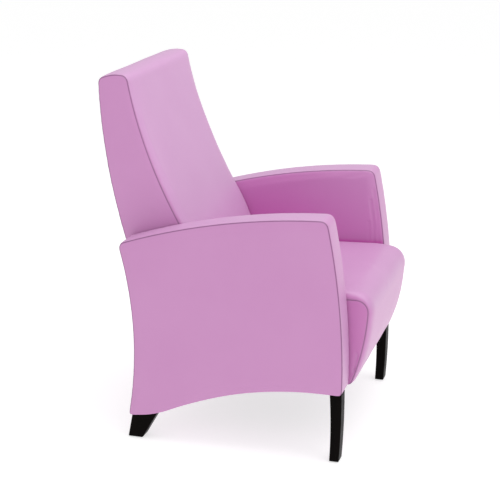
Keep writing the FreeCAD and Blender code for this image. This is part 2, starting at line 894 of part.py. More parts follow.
for name, low_shift, high_shift, width, top in (
    ("back_rear_board", "stile_shift", "board_shift", "seat_inner - soft_gap", "stile_top - rear_board_drop"),
    (
        "back_rear_pad",
        "board_shift",
        "cover_wall + soft_gap + rear_pad_gap",
        "seat_inner - back_edge_radius",
        "stile_top - rear_pad_drop",
    ),
):
    layers = []
    for label, shift in (("inner", low_shift), ("outer", high_shift)):
        path = [
            ("0", "seat_low"),
            (f"back_heel - ({shift})", "seat_low"),
        ] + rear_line(f"({shift})") + [("0", "back_rear_height")]
        layers.append(side_outline(f"{name}_{label}", path))
    slabs = [
        extrude(f"{name}_{label}_slab", profile, f"-({width}) - {extra}", f"{width} + {extra}")
        for label, profile, extra in (("outer", layers[1], "0"), ("inner", layers[0], "overcut"))
    ]
    curve = cut(name + "_curve", slabs[0], [slabs[1]])
    limit = box(name + "_limit", ("-seat_half", "0", "rail_low + soft_gap"), ("seat_half", past_back, top))
    node(name, common(name, curve, limit))

for name, y, z, high in (
    ("back_bottom_rail", "tail_front", "rail_low", "rail_height"),
    ("back_lumbar_rail", "tail_front + rail_wall", "back_tail_top", "lumbar_rail_height"),
    (
        "back_top_rail",
        f"{stile_front_top} + top_rail_setback",
        "stile_top - top_rail_height",
        "top_rail_height",
    ),
):
    path = rectangle(y, f"{y} + rail_wall", z, f"{z} + {high}")
    body = node(name, pad_body(name, path, "-rail_inner", "2 * rail_inner"))
    if name == "back_bottom_rail":
        for side, sign in (("left", "+"), ("right", "-")):
            across = f"rail_inner {sign} back_bolt"
            bore(body, f"{name}_{side}_bolt", "XZ_Plane", across, "bolt_height", insert_seat)

# Straps across the front of the stiles, with the foam in front of them and over the top.
def strap_line(shift):
    return [
        (f"{stile_front_top} - {shift}", "stile_top"),
        (f"{stile_front_mid} - {shift}", strap_mid_height, f"tail_front - {shift}", "back_tail_top"),
    ]


behind = [(past_back, tail_end), (past_back, "stile_top")]
front_cut = extrude(
    "strap_front_cut",
    side_outline("strap_front", behind + strap_line("strap_wall")
                 + [("tail_front - strap_wall", tail_end)]),
    "-seat_inner", "seat_inner",
)
rear_cut = extrude(
    "strap_rear_cut",
    side_outline("strap_rear", behind + strap_line("0") + [("tail_front", tail_end)]),
    "-seat_half", "seat_half",
)
web = cut("strap_web", front_cut, [rear_cut])
bands = [
    box(
        f"strap_band_{number}",
        ("soft_gap - seat_inner", "0", f"strap_start + {number} * strap_pitch"),
        ("seat_inner - soft_gap", past_back, f"strap_start + {number} * strap_pitch + strap_width"),
    )
    for number in range(int(amount("strap_count")))
]
node("back_webbing", common("back_webbing", web, join("strap_bands", "Part::Compound", bands)))
foam_cut = extrude(
    "back_foam_cut",
    side_outline(
        "back_foam_rear",
        [(past_back, tail_end), (past_back, "stile_top + soft_gap"),
         (f"{stile_front_top} - strap_wall - soft_gap", "stile_top + soft_gap")]
        + strap_line("(strap_wall + soft_gap)")
        + [("tail_front - strap_wall - soft_gap", tail_end)],
    ),
    f"-({past_side})", past_side,
)
node("back_foam", cut("back_foam", back_form("back_filling", "cover_wall + soft_gap"), [foam_cut]))

# Legs: curved front legs and raked rear legs, drilled for a stud above and a glide below.
front_leg = [
    (
        "(front_leg_top_front + front_leg_foot_front) / 2 - front_leg_front_bow",
        "(arm_toe_height + glide_height) / 2",
        "front_leg_foot_front",
        "glide_height",
    ),
    ("front_leg_foot_rear", "glide_height"),
    (
        "(front_leg_top_rear + front_leg_foot_rear) / 2 - front_leg_rear_bow",
        "(arm_toe_height + glide_height) / 2",
        "front_leg_top_rear",
        "arm_toe_height",
    ),
    ("front_leg_top_front", "arm_toe_height"),
]
rear_leg = [
    ("rear_leg_foot_front", "glide_height"),
    ("rear_leg_foot_rear", "glide_height"),
    ("rear_leg_top_rear", "arm_heel_height + heel_slope * (arm_heel - rear_leg_top_rear)"),
    ("rear_leg_top_front", "arm_heel_height + heel_slope * (arm_heel - rear_leg_top_front)"),
]
inserts = []
leg_studs = []


def insert(name, axis, x, y, z):
    shell = rod(name + "_shell", "insert_radius", "insert_length", axis, x, y, z)
    thread = rod(name + "_thread", "bolt_radius + thread_gap", "insert_length", axis, x, y, z)
    inserts.append(cut(name, shell, [thread]))


for side, sign, x in (("left", "1", "leg_inner"), ("right", "-1", "-leg_outer")):
    for end, path, stud, glide, top, seat in (
        ("front", front_leg, "front_stud", "front_glide", "arm_toe_height", "front_insert_low"),
        ("rear", rear_leg, "rear_stud", "rear_glide", "arm_heel_front_height", "rear_insert_low"),
    ):
        name = f"{end}_{side}_leg"
        body = pad_body(name, path, x, "leg_thickness")
        edges = flat_edges(body, lambda middle: True)
        long_edges = [
            number for number in edges
            if abs(body.Shape.Edges[number - 1].BoundBox.ZLength) > amount("arm_heel_height") / 2
        ]
        blank = body.Tip
        softened = body.newObject("PartDesign::Fillet", name + "_edges")
        softened.Base = (blank, [f"Edge{number}" for number in long_edges])
        bind(softened, Radius="leg_edge_radius")
        doc.recompute()
        level = f"{top} - stud_reach"
        if end == "rear":
            level = f"arm_heel_height + heel_slope * (arm_heel - {stud}) - stud_reach"
        stud_x = "core_middle - leg_inner" if side == "left" else "leg_outer - core_middle"
        bore(body, name + "_stud", "XY_Plane", stud_x, stud, drill, f"{top} - ({level}) + overcut",
             f"{top} + overcut")
        bore(body, name + "_well", "XY_Plane", "leg_thickness / 2", glide, drill, "glide_well",
             "glide_height", True)
        bore(body, name + "_seat", "XY_Plane", "leg_thickness / 2", glide, insert_seat, "insert_length",
             "glide_height", True)
        node(name, body)
        leg_studs.append(
            rod(f"{name}_stud", "bolt_radius", f"{seat} + insert_length - ({level})", "z",
                f"{sign} * core_middle", stud, level)
        )
        insert(f"{name}_stud_insert", "z", f"{sign} * core_middle", stud, seat)
        insert(f"{name}_glide_insert", "z", f"{sign} * leg_middle", glide, "glide_height")

        glide_body = doc.addObject("PartDesign::Body", f"{end}_{side}_glide")
        half = outline(
            f"{end}_{side}_glide_half",
            [
                ("0", "0"),
                ("glide_radius", "0"),
                ("glide_radius", "glide_height"),
                ("bolt_radius", "glide_height"),
                ("bolt_radius", "glide_height + glide_stem"),
                ("0", "glide_height + glide_stem"),
            ],
            glide_body,
            "XZ_Plane",
        )
        turned = glide_body.newObject("PartDesign::Revolution", f"{end}_{side}_glide_turned")
        turned.Profile = half
        turned.ReferenceAxis = (half, ["V_Axis"])
        turned.Angle = 360
        place(glide_body, f"{sign} * leg_middle", glide)
        node(f"{end}_{side}_glide", glide_body)
node("leg_studs", join("leg_studs", "Part::Compound", leg_studs))


# Bolts: a round head on a plain shank, reaching through to a threaded insert.
def bolt(name, axis, turned, length, x, y, z):
    solids = []
    for label, radius, low, high in (
        ("shank", "bolt_radius", "0", length),
        ("head", "head_radius", "-head_height", "0"),
    ):
        start = f"-({high})" if turned else low
        shift = {"x": x, "y": y, "z": z}
        shift[axis] = f"{shift[axis]} + {start}"
        solids.append(rod(f"{name}_{label}", radius, f"{high} - ({low})", axis, **shift))
    return join(name, "Part::MultiFuse", solids)


arm_bolts = []
for side, sign in (("left", "1"), ("right", "-1")):
    for end, y, z in arm_bolt_spots:
        name = f"{end}_{side}_arm_bolt"
        arm_bolts.append(bolt(name, "x", side == "right", "arm_bolt_length", f"{sign} * rail_inner", y, z))
        start = "arm_core" if side == "left" else "-(arm_core + insert_length)"
        insert(f"{end}_{side}_arm_insert", "x", start, y, z)
node("arm_bolts", join("arm_bolts", "Part::Compound", arm_bolts))
back_bolts = []
for side, sign in (("left", "1"), ("right", "-1")):
    x = f"{sign} * back_bolt"
    start = "frame_rear - rail_wall"
    back_bolts.append(bolt(f"{side}_back_bolt", "y", False, "back_bolt_length", x, start, "bolt_height"))
    insert(f"{side}_back_insert", "y", x, "tail_front", "bolt_height")
node("back_bolts", join("back_bolts", "Part::Compound", back_bolts))
node("threaded_inserts", join("threaded_inserts", "Part::Compound", inserts))

doc.recompute()
for item in doc.Objects:
    if "Invalid" in item.State or "Error" in item.State:
        raise RuntimeError(item.Name + " did not build")
for name, item in nodes.items():
    if item.Shape.isNull() or not item.Shape.isValid() or not item.Shape.Solids:
        raise RuntimeError(name + " is not a valid solid")
    item.Shape.exportStep(f"parts/{name}.step")
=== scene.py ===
import math

import bmesh
import bpy
import numpy as np
from mathutils import Euler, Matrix, Vector, kdtree, noise


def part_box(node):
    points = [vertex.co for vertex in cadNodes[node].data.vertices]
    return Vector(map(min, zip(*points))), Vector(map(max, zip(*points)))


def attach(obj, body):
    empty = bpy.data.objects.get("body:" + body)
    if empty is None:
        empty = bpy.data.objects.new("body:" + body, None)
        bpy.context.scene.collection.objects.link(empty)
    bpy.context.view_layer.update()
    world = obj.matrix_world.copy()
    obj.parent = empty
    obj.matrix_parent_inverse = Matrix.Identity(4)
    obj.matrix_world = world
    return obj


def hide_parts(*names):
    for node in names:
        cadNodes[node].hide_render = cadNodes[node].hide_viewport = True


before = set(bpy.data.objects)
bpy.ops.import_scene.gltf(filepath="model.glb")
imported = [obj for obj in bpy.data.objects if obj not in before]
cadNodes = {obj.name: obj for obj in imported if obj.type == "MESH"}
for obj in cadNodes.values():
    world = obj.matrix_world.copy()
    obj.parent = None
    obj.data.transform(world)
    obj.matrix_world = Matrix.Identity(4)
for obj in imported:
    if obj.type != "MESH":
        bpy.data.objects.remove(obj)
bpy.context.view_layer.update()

scene = bpy.context.scene
mm = 0.001
sameSpot = 1e-5      # metres within which two points are one
print("frame loaded,", len(cadNodes), "nodes")


# small helpers for picking pieces up and reading their points

def deselectAll():
    if bpy.context.object and bpy.context.object.mode != "OBJECT":
        bpy.ops.object.mode_set(mode="OBJECT")
    bpy.ops.object.select_all(action="DESELECT")


def pick(piece):
    deselectAll()
    piece.select_set(True)
    bpy.context.view_layer.objects.active = piece


def readSpots(piece):
    flat = np.zeros(len(piece.data.vertices) * 3)
    piece.data.vertices.foreach_get("co", flat)
    return flat.reshape(-1, 3)


def writeSpots(piece, spots):
    piece.data.vertices.foreach_set("co", np.asarray(spots, float).ravel())
    piece.data.update()


def readNormals(piece):
    flat = np.zeros(len(piece.data.vertices) * 3)
    piece.data.vertex_normals.foreach_get("vector", flat)
    return flat.reshape(-1, 3)


def openMesh(piece, kind):      # in edit mode with nothing selected
    bpy.ops.object.mode_set(mode="EDIT")
    bpy.ops.mesh.select_mode(type=kind)
    bpy.ops.mesh.select_all(action="DESELECT")
    return bmesh.from_edit_mesh(piece.data)


def applyModifier(piece, modifier):
    pick(piece)
    bpy.ops.object.modifier_apply(modifier=modifier.name)


# outlines seen from the side: a corner is y, z, rounding, then the bulge of the edge that starts there, in mm

fewestSteps = 9      # along an edge
turnSteps, roundness = 16, 0.55      # of a rounded corner
cornerGather = 5      # mm between the stops gathered at a kept corner
ringSmoothing = 8      # passes over the values along a ring


def sideOutline(corners):
    runs = []
    for number, (y, z, rounding, bulgeY, bulgeZ) in enumerate(corners):
        start = np.array((y, z), float)
        after = corners[(number + 1) % len(corners)]
        end = np.array(after[:2], float)
        length = np.linalg.norm(end - start)
        steps = np.linspace(rounding / length, 1 - after[2] / length, max(int(length), fewestSteps))[:, None]
        bulge = np.array((bulgeY, bulgeZ))
        runs.append(start + (end - start) * steps + 4 * steps * (1 - steps) * bulge)
    points, marks = [], []
    for number, run in enumerate(runs):
        corner = np.array(corners[number][:2], float)
        before, after = runs[number - 1][-1], run[0]
        turn = np.linspace(0, 1, turnSteps + 1)[:, None]
        nearBefore = before + (corner - before) * roundness
        nearAfter = after + (corner - after) * roundness
        arc = (1 - turn) ** 3 * before + 3 * (1 - turn) ** 2 * turn * nearBefore
        arc += 3 * (1 - turn) * turn ** 2 * nearAfter + turn ** 3 * after
        marks.append(len(points) + turnSteps // 2)
        points.extend(arc)
        points.extend(run[1:-1])
    return np.array(points), marks


def ringOf(corners, sides, inset, kept):      # sides: the corner where each starts, and its count of steps
    fine, marks = sideOutline(corners)
    loop = np.vstack([fine, fine[:1]])
    reach = np.concatenate([[0], np.cumsum(np.linalg.norm(np.diff(loop, axis=0), axis=1))])
    ring = []
    for place, (corner, count) in enumerate(sides):
        start = reach[marks[corner]]
        end = reach[marks[sides[(place + 1) % len(sides)][0]]]
        end += reach[-1] if end <= start else 0
        stops = start + (end - start) * np.arange(count) / count
        for turning in kept:      # three stops gathered at a corner inside a side
            mark = reach[marks[turning]] + (reach[-1] if reach[marks[turning]] < start else 0)
            if start < mark < end:
                nearest = np.abs(stops - mark).argmin()
                stops[nearest - 1:nearest + 2] = mark - cornerGather, mark, mark + cornerGather
        ring.append(np.stack([np.interp(stops % reach[-1], reach, loop[:, axis]) for axis in (0, 1)], 1))
    ring = np.vstack(ring)
    along = np.roll(ring, -1, 0) - np.roll(ring, 1, 0)
    along /= np.linalg.norm(along, axis=1)[:, None]
    outward = np.stack([along[:, 1], -along[:, 0]], 1)
    area = np.sum(ring[:, 0] * np.roll(ring[:, 1], -1) - np.roll(ring[:, 0], -1) * ring[:, 1])
    outward *= 1 if area > 0 else -1
    return ring - outward * inset, outward


def ringValues(sides, values):      # a value along each side, as pairs of share and amount
    line = []
    for (_, count), pairs in zip(sides, values):
        shares, amounts = zip(*pairs)
        line.append(np.interp(np.arange(count) / count, shares, amounts))
    line = np.concatenate(line)
    for _ in range(ringSmoothing):
        line = (np.roll(line, 1) + 2 * line + np.roll(line, -1)) / 4
    return line


def rise(distance, width):      # how far a panel has come up at a distance from its seam, 0 to 1
    share = np.clip(np.asarray(distance) / width, 0, 1)
    return np.sqrt(1 - (1 - share) ** 2)


def seamDistance(spots, seam):
    tree = kdtree.KDTree(len(seam))
    for number, spot in enumerate(seam):
        tree.insert(spot, number)
    tree.balance()
    return np.array([tree.find(spot)[2] for spot in spots])


# a sewn form: a tube round the side outline, its ends turned in as rows of the side panels and then closed

def sewForm(name, shape):
    ring, outward = ringOf(shape["corners"], shape["sides"], shape["inset"], shape.get("kept", ()))
    crown = ringValues(shape["sides"], shape["crown"])
    low, high = shape["across"]
    near = np.array(shape["steps"], float)
    middle = np.linspace(low + near[-1], high - near[-1], shape["middle"])[1:-1]
    turned = np.array(shape["turned"], float)
    stations = np.concatenate([np.full(len(turned), low), low + near, middle, (high - near)[::-1],
                               np.full(len(turned), high)])
    inwards = np.concatenate([turned[::-1], np.zeros(len(near) * 2 + len(middle)), turned])
    deselectAll()
    bpy.ops.mesh.primitive_cylinder_add(vertices=len(ring), radius=1, depth=2, end_fill_type="NOTHING",
                                        rotation=(0, math.pi / 2, 0))
    form = bpy.context.object
    form.name = form.data.name = name
    bpy.ops.object.transform_apply(location=True, rotation=True, scale=True)
    mesh = openMesh(form, "EDGE")
    for edge in mesh.edges:
        edge.select_set(abs(edge.verts[0].co.x - edge.verts[1].co.x) > 1)
    bmesh.update_edit_mesh(form.data)
    bpy.ops.mesh.subdivide(number_cuts=len(stations) - 2, quadcorner="STRAIGHT_CUT")
    bpy.ops.object.mode_set(mode="OBJECT")

    spots = readSpots(form)      # each point's place round the ring and across the form
    turn = np.arctan2(spots[:, 2], spots[:, 1]) % (2 * math.pi)
    stop = np.rint(turn / (2 * math.pi) * len(ring)).astype(int) % len(ring)
    row = np.rint((spots[:, 0] + 1) / 2 * (len(stations) - 1)).astype(int)
    x = stations[row]
    roll = ringValues(shape["sides"], shape["rollWidth"])
    lift = rise(np.minimum(x - low, high - x), roll[stop])
    lift += shape["dome"] * (1 - ((x - low) / (high - low) * 2 - 1) ** 2)
    side = ring[stop] + outward[stop] * (crown[stop] * lift - inwards[row])[:, None]
    writeSpots(form, np.column_stack([x, side]) * mm)

    for level in (low, high):
        mesh = openMesh(form, "EDGE")
        rim = [edge for edge in mesh.edges
               if edge.is_boundary and abs(edge.verts[0].co.x - level * mm) < sameSpot]
        for edge in rim:
            edge.select_set(True)
        first = Vector((level, *(ring[0] - outward[0] * turned[-1]))) * mm
        ends = [vert for edge in rim for vert in edge.verts]
        corner = min(ends, key=lambda vert: (vert.co - first).length)
        mesh.select_history.clear()
        mesh.select_history.add(corner)
        bmesh.update_edit_mesh(form.data)
        bpy.ops.mesh.fill_grid(span=shape["sides"][0][1], offset=0)
        bpy.ops.object.mode_set(mode="OBJECT")
    pick(form)
    bpy.ops.object.mode_set(mode="EDIT")
    bpy.ops.mesh.select_all(action="SELECT")
    bpy.ops.mesh.normals_make_consistent(inside=False)
    bpy.ops.object.mode_set(mode="OBJECT")

    seam = np.vstack([np.column_stack([np.full(len(ring), level), ring]) * mm for level in (low, high)])
    spots = readSpots(form)      # side panels come up from their seams
    distance = seamDistance(spots, seam)
    for level, outwards, swell in ((low, -1, shape["sideSwell"][0]), (high, 1, shape["sideSwell"][1])):
        flat = np.abs(spots[:, 0] - level * mm) < sameSpot
        spots[flat, 0] += outwards * swell * mm * rise(distance[flat], shape["sideRoll"] * mm)
    writeSpots(form, spots)
    return form, seam


vinylCloth = {
    "quality": 4,
    "mass": 0.3,
    "tension_stiffness": 25,
    "compression_stiffness": 25,
    "bending_stiffness": 3,
    "use_pressure": True,
    "vertex_group_mass": "held",
}
puffFrames = 20


def puffUp(form, seam, shape):      # vinyl under the foam's pressure, held along its seams and capped
    spots = readSpots(form)
    fixed = (seamDistance(spots, seam) < sameSpot) | shape["tucked"](spots / mm)
    held = form.vertex_groups.new(name="held")
    held.add([int(number) for number in np.nonzero(fixed)[0]], 1.0, "REPLACE")
    cloth = form.modifiers.new("puff", "CLOTH")
    for word, value in vinylCloth.items():
        setattr(cloth.settings, word, value)
    cloth.settings.uniform_pressure_force = shape["pressure"]
    cloth.settings.effector_weights.gravity = 0
    cloth.collision_settings.use_collision = False
    cloth.point_cache.frame_start = 1
    cloth.point_cache.frame_end = puffFrames
    for step in range(1, puffFrames + 1):
        scene.frame_set(step)
    applyModifier(form, cloth)
    scene.frame_set(1)
    moved = readSpots(form) - spots
    far = np.linalg.norm(moved, axis=1)
    print(form.name, "swells by at most", round(far.max() / mm, 1), "mm, mean", round(far.mean() / mm, 2))
    cap = shape["cap"] * mm
    moved *= (cap * np.tanh(far / cap) / np.maximum(far, 1e-9))[:, None]
    writeSpots(form, spots + moved)


seamWidth = 1.5      # mm that look darker


def sewSeams(form, seam, shape):      # the sewn sides of both panels: creased, made finer, then drawn in
    counts = [count for _, count in shape["sides"]]
    starts = np.concatenate([[0], np.cumsum(counts)])
    half = len(seam) // 2
    sewn = np.concatenate([np.arange(starts[side], starts[side + 1] + 1) % half for side in shape["sewn"]])
    line = seam[np.concatenate([sewn, sewn + half])]
    pick(form)
    bpy.ops.object.mode_set(mode="EDIT")
    mesh = bmesh.from_edit_mesh(form.data)
    crease = mesh.edges.layers.float.new("crease_edge")
    onSeam = seamDistance([vert.co for vert in mesh.verts], line) < sameSpot
    mesh.verts.index_update()
    for edge in mesh.edges:
        if onSeam[edge.verts[0].index] and onSeam[edge.verts[1].index]:
            edge[crease] = 1.0
            edge.seam = True
    bmesh.update_edit_mesh(form.data)
    bpy.ops.object.mode_set(mode="OBJECT")
    finer = form.modifiers.new("finer", "SUBSURF")
    finer.levels = finer.render_levels = 1
    applyModifier(form, finer)
    mesh = openMesh(form, "VERT")
    for edge in mesh.edges:
        if edge.seam:
            edge.verts[0].select_set(True)
            edge.verts[1].select_set(True)
    drawn = [vert.co.copy() for vert in mesh.verts if vert.select]
    bmesh.update_edit_mesh(form.data)
    bpy.ops.transform.shrink_fatten(value=-shape["seamDepth"] * mm)
    bpy.ops.object.mode_set(mode="OBJECT")
    distance = seamDistance(readSpots(form), drawn)
    # painted shadow line along each seam, partly dirt gathered in the joint
    shade = form.data.attributes.new("seamShade", "FLOAT", "POINT")
    shade.data.foreach_set("value", np.exp(-(distance / (seamWidth * mm)) ** 2).astype(np.float32))
    return distance


uneven = {      # noise scales per metre, reaches in mm
    "puckerScale": 80,
    "puckerReach": 9,
    "foamScale": 9,
    "foamReach": 60,
    "creaseFade": 70,
}


def workIn(form, distance, shape):      # puckers beside the seams, uneven foam and creases
    spots, normals = readSpots(form), readNormals(form)
    pucker = np.array([noise.noise(Vector(spot) * uneven["puckerScale"]) for spot in spots])
    pucker *= np.exp(-distance / (uneven["puckerReach"] * mm))
    foam = np.array([noise.noise(Vector(spot) * uneven["foamScale"]) for spot in spots])
    foam *= np.clip(distance / (uneven["foamReach"] * mm), 0, 1)
    move = pucker * shape["pucker"] * mm + foam * shape["foam"] * mm
    for line, width, depth in shape.get("creases", ()):
        points = np.array(line) * mm
        near = np.full(len(spots), 1.0)
        fade = np.zeros(len(spots))
        for first, last in zip(points[:-1], points[1:]):
            share = np.clip((spots - first) @ (last - first) / np.sum((last - first) ** 2), 0, 1)
            gap = np.linalg.norm(spots - first - share[:, None] * (last - first), axis=1)
            near = np.minimum(near, gap)
        for point in points:
            reach = np.linalg.norm(spots - point, axis=1) / (uneven["creaseFade"] * mm)
            fade = np.maximum(fade, np.exp(-reach ** 2))
        share = near / (width * mm)
        move -= depth * mm * fade * (1 - share ** 2) * np.exp(-share ** 2)
    writeSpots(form, spots + normals * move[:, None])


def ease(value, start, end):      # 0 to 1 between start and end, with soft ends
    share = np.clip((value - start) / (end - start), 0, 1)
    return share * share * (3 - 2 * share)


facingShade = {      # painted shade: the vinyl is palest where it faces up and forward, deeper where it faces away from the light
    "towards": (0, -0.55, 0.83),
    "most": 0.8,
    "least": 0.4,
    "tone": 0.27,
}


def upholster(name, shape, material):
    form, seam = sewForm(name, shape)
    puffUp(form, seam, shape)
    workIn(form, sewSeams(form, seam, shape), shape)
    form.vertex_groups.clear()
    # painted shade: a deeper tone by how the surface faces the light, plus each piece's own painted shade map
    facing = readNormals(form) @ np.array(facingShade["towards"])
    paintedShade = facingShade["tone"] * ease(facing, facingShade["most"], facingShade["least"])
    paintedShade += shape["paintedShadeTone"](readSpots(form) / mm)
    paintedShadeTone = form.data.attributes.new("paintedShadeTone", "FLOAT", "POINT")
    paintedShadeTone.data.foreach_set("value", np.clip(paintedShade, 0, 1).astype(np.float32))
    pick(form)
    bpy.ops.object.shade_smooth()
    form.data.materials.clear()
    form.data.materials.append(material)
    print(name, len(form.data.polygons), "faces")
    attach(form, "chair")
    return form


# materials

def newMaterial(name, **settings):
    material = bpy.data.materials.new(name)
    material.use_nodes = True
    shader = material.node_tree.nodes["Principled BSDF"]
    for words, value in settings.items():
        shader.inputs[words.replace("_", " ")].default_value = value
    return material, material.node_tree, shader


def addNode(tree, kind, values=None, **settings):
    made = tree.nodes.new(kind)
    for word, value in settings.items():
        setattr(made, word, value)
    for word, value in (values or {}).items():
        made.inputs[word].default_value = value
    return made


def newGroup(name, inputs, outputs):
    group = bpy.data.node_groups.new(name, "ShaderNodeTree")
    for word, value in inputs.items():
        socket = group.interface.new_socket(word, in_out="INPUT", socket_type="NodeSocketFloat")
        socket.default_value = value
    for word in outputs:
        group.interface.new_socket(word, in_out="OUTPUT", socket_type="NodeSocketFloat")
    return group, addNode(group, "NodeGroupInput"), addNode(group, "NodeGroupOutput")


def placeGroup(tree, group, **values):
    made = addNode(tree, "ShaderNodeGroup", node_tree=group)
    for word, value in values.items():
        made.inputs[word.replace("_", " ")].default_value = value
    return made


def mixColours(tree, factor, first, second):      # colours are set values or sockets
    mix = addNode(tree, "ShaderNodeMix", data_type="RGBA")
    tree.links.new(factor, mix.inputs["Factor"])
    for slot, colour in (("A", first), ("B", second)):
        if isinstance(colour, tuple):
            mix.inputs[slot].default_value = colour
        else:
            tree.links.new(colour, mix.inputs[slot])
    return mix.outputs["Result"]


def stretch(tree, value, low, high):
    spread = addNode(tree, "ShaderNodeMapRange", {"To Min": low, "To Max": high})
    tree.links.new(value, spread.inputs["Value"])
    return spread.outputs["Result"]


def bumpUp(tree, shader, height, distance, strength=1.0):
    bump = addNode(tree, "ShaderNodeBump", {"Distance": distance, "Strength": strength})
    tree.links.new(height, bump.inputs["Height"])
    tree.links.new(bump.outputs["Normal"], shader.inputs["Normal"])


# soft unevenness: broad clouds and fine specks
unevenness, given, result = newGroup("unevenness", {"Cloud scale": 6.0, "Speck scale": 160.0},
                                     ("Clouds", "Specks"))
where = addNode(unevenness, "ShaderNodeTexCoord")
clouds = addNode(unevenness, "ShaderNodeTexNoise", {"Detail": 4.0, "Roughness": 0.55})
specks = addNode(unevenness, "ShaderNodeTexNoise", {"Detail": 2.0, "Roughness": 0.6})
for texture, word, out in ((clouds, "Cloud scale", "Clouds"), (specks, "Speck scale", "Specks")):
    unevenness.links.new(where.outputs["Object"], texture.inputs["Vector"])
    unevenness.links.new(given.outputs[word], texture.inputs["Scale"])
    contrast = stretch(unevenness, texture.outputs["Fac"], -0.6, 1.6)
    unevenness.links.new(contrast, result.inputs[out])

# pebbled skin: rounded cells with creases between them
pebble, given, result = newGroup("pebble", {"Cell scale": 850.0}, ("Height",))
where = addNode(pebble, "ShaderNodeTexCoord")
waver = addNode(pebble, "ShaderNodeTexNoise", {"Scale": 300.0, "Detail": 2.0})
shift = addNode(pebble, "ShaderNodeVectorMath", operation="MULTIPLY_ADD")
shift.inputs[1].default_value = (0.0012, 0.0012, 0.0012)
cells = addNode(pebble, "ShaderNodeTexVoronoi", feature="SMOOTH_F1")
pebble.links.new(where.outputs["Object"], waver.inputs["Vector"])
pebble.links.new(waver.outputs["Color"], shift.inputs[0])
pebble.links.new(where.outputs["Object"], shift.inputs[2])
pebble.links.new(shift.outputs["Vector"], cells.inputs["Vector"])
pebble.links.new(given.outputs["Cell scale"], cells.inputs["Scale"])
pebble.links.new(stretch(pebble, cells.outputs["Distance"], 1.0, 0.0), result.inputs["Height"])

# wood: growth rings drawn out along the grain, with fine pores
figure, given, result = newGroup("woodFigure", {"Ring scale": 60.0}, ("Rings", "Pores"))
where = addNode(figure, "ShaderNodeTexCoord")
drawnOut = addNode(figure, "ShaderNodeMapping")
drawnOut.inputs["Scale"].default_value = (1.0, 1.0, 0.06)
rings = addNode(figure, "ShaderNodeTexNoise", {"Detail": 3.0, "Distortion": 0.6})
pores = addNode(figure, "ShaderNodeTexNoise", {"Scale": 900.0, "Detail": 2.0})
figure.links.new(where.outputs["Object"], drawnOut.inputs["Vector"])
figure.links.new(drawnOut.outputs["Vector"], rings.inputs["Vector"])
figure.links.new(drawnOut.outputs["Vector"], pores.inputs["Vector"])
figure.links.new(given.outputs["Ring scale"], rings.inputs["Scale"])
figure.links.new(stretch(figure, rings.outputs["Fac"], -0.5, 1.5), result.inputs["Rings"])
figure.links.new(stretch(figure, pores.outputs["Fac"], -0.5, 1.5), result.inputs["Pores"])

vinylFinish = {
    "pale": (0.59, 0.322, 0.555, 1),
    "deep": (0.565, 0.298, 0.53, 1),
    "paintedShadeColour": (0.575, 0.115, 0.44, 1),
    "seam": (0.085, 0.018, 0.072, 1),
    "grainDepth": 0.00009,
    "grainStrength": 0.6,
    "matt": 0.46,
    "shiny": 0.38,
}
vinyl, tree, shader = newMaterial("vinyl", Coat_Weight=0.2, Coat_Roughness=0.5,
                                  Sheen_Weight=0.12, Sheen_Roughness=0.4)
patches = placeGroup(tree, unevenness, Cloud_scale=5.0, Speck_scale=240.0)
seamMark = addNode(tree, "ShaderNodeAttribute", attribute_name="seamShade")
paintedShadeMark = addNode(tree, "ShaderNodeAttribute", attribute_name="paintedShadeTone")
skin = placeGroup(tree, pebble, Cell_scale=850.0)
tone = mixColours(tree, patches.outputs["Clouds"], vinylFinish["pale"], vinylFinish["deep"])
# painted shade: the vinyl turns deeper and more saturated where the attribute marks shade
tone = mixColours(tree, paintedShadeMark.outputs["Fac"], tone, vinylFinish["paintedShadeColour"])
# the seams' painted shadow line, partly dirt gathered in the joint
tone = mixColours(tree, seamMark.outputs["Fac"], tone, vinylFinish["seam"])
tree.links.new(tone, shader.inputs["Base Color"])
gloss = stretch(tree, patches.outputs["Specks"], vinylFinish["shiny"], vinylFinish["matt"])
tree.links.new(gloss, shader.inputs["Roughness"])
bumpUp(tree, shader, skin.outputs["Height"], vinylFinish["grainDepth"], vinylFinish["grainStrength"])

lacquerFinish = {
    "black": (0.0022, 0.0018, 0.0017, 1),
    "brown": (0.0045, 0.0032, 0.0028, 1),
    "poreDepth": 0.00006,
    "poreStrength": 0.5,
    "matt": 0.46,
    "shiny": 0.3,
}
lacquer, tree, shader = newMaterial("blackLacquer", Specular_IOR_Level=0.03)
wood = placeGroup(tree, figure, Ring_scale=70.0)
patches = placeGroup(tree, unevenness, Cloud_scale=14.0, Speck_scale=220.0)
tone = mixColours(tree, wood.outputs["Rings"], lacquerFinish["black"], lacquerFinish["brown"])
tree.links.new(tone, shader.inputs["Base Color"])
gloss = stretch(tree, patches.outputs["Clouds"], lacquerFinish["shiny"], lacquerFinish["matt"])
tree.links.new(gloss, shader.inputs["Roughness"])
bumpUp(tree, shader, wood.outputs["Pores"], lacquerFinish["poreDepth"], lacquerFinish["poreStrength"])

nylonFinish = {
    "black": (0.018, 0.018, 0.02, 1),
    "grey": (0.03, 0.03, 0.032, 1),
    "grainDepth": 0.00005,
    "matt": 0.62,
    "shiny": 0.45,
}
nylon, tree, shader = newMaterial("glideNylon", Specular_IOR_Level=0.3)
patches = placeGroup(tree, unevenness, Cloud_scale=60.0, Speck_scale=900.0)
tone = mixColours(tree, patches.outputs["Clouds"], nylonFinish["black"], nylonFinish["grey"])
tree.links.new(tone, shader.inputs["Base Color"])
gloss = stretch(tree, patches.outputs["Specks"], nylonFinish["shiny"], nylonFinish["matt"])
tree.links.new(gloss, shader.inputs["Roughness"])
bumpUp(tree, shader, patches.outputs["Specks"], nylonFinish["grainDepth"])

